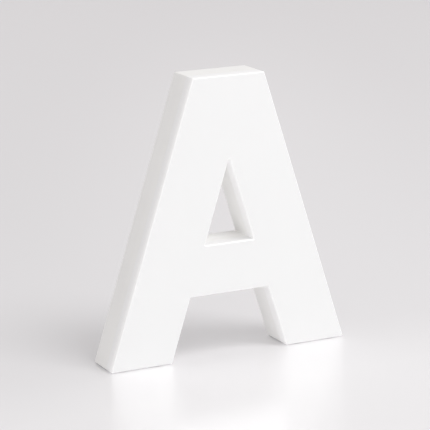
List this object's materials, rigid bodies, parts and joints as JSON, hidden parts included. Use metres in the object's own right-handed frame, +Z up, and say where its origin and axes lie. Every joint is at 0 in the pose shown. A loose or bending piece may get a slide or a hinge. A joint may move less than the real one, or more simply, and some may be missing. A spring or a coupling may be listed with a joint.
{
  "type": "light-up letter",
  "caption": "Free-standing block capital A lamp: lit opal face cap snapped on a white hollow shell, with a hinged battery door, slide switch and keyholes in the back.",
  "frame": {"origin": "on the surface that the letter stands on, in the middle of its width and its depth", "axes": "+X to the right as the letter is read, +Y from the lit face to the back, +Z up"},
  "size_m": [0.221, 0.035, 0.2408],
  "materials": {
    "opal_cap": "satin opal, lit from behind",
    "white_shell": "fine matt",
    "white_back": "fine matt grain",
    "door_white": "fine matt grain",
    "screw_steel": "zinc plated",
    "foot_foam": "soft foam",
    "reflector_white": "matt",
    "strip_board": "white solder mask",
    "lamp_resin": "clear resin over phosphor",
    "resistor_black": "matt ceramic",
    "box_white": "matt",
    "cell_can": "printed jacket on a metal can",
    "contact_nickel": "nickel plated",
    "board_green": "solder mask",
    "chip_black": "matt epoxy",
    "ferrite_grey": "matt ferrite",
    "capacitor_sleeve": "shrink sleeve",
    "connector_ivory": "matt",
    "switch_grey": "matt",
    "knob_black": "matt",
    "lead_red": "smooth insulation",
    "lead_black": "smooth insulation"
  },
  "bodies": {
    "letter_body": {"front_diffuser": "opal_cap", "side_shell": "white_shell", "back_panel": "white_back", "panel_screws": "screw_steel", "foot_pads": "foot_foam", "reflector_tray": "reflector_white", "reflector_screws": "screw_steel", "led_strip_left": "strip_board", "led_strip_right": "strip_board", "led_strip_bar": "strip_board", "leds_left": "lamp_resin", "leds_right": "lamp_resin", "leds_bar": "lamp_resin", "strip_resistors": "resistor_black", "strip_links": "lead_red", "battery_box": "box_white", "battery_box_screws": "screw_steel", "battery_upper": "cell_can", "battery_lower": "cell_can", "contact_bridge": "contact_nickel", "contact_positive": "contact_nickel", "contact_negative": "contact_nickel", "spring_upper": "contact_nickel", "spring_lower": "contact_nickel", "control_board": "board_green", "control_board_screws": "screw_steel", "control_chip": "chip_black", "boost_inductor": "ferrite_grey", "smoothing_capacitor": "capacitor_sleeve", "lead_connectors": "connector_ivory", "switch_body": "switch_grey", "battery_lead_red": "lead_red", "battery_lead_black": "lead_black", "led_lead_red": "lead_red", "led_lead_black": "lead_black"},
    "battery_door": {"battery_door": "door_white"},
    "switch_knob": {"switch_knob": "knob_black"}
  },
  "joints": [
    {"name": "battery_door_hinge", "type": "hinge", "parent": "letter_body", "child": "battery_door", "pos_m": [-0.03535, 0.0158, 0.0773], "axis": [0, 0, 1], "range_deg": [0, 95]},
    {"name": "switch_slide", "type": "slide", "parent": "letter_body", "child": "switch_knob", "axis": [0, 0, 1], "range_m": [0, 0.004]}
  ]
}
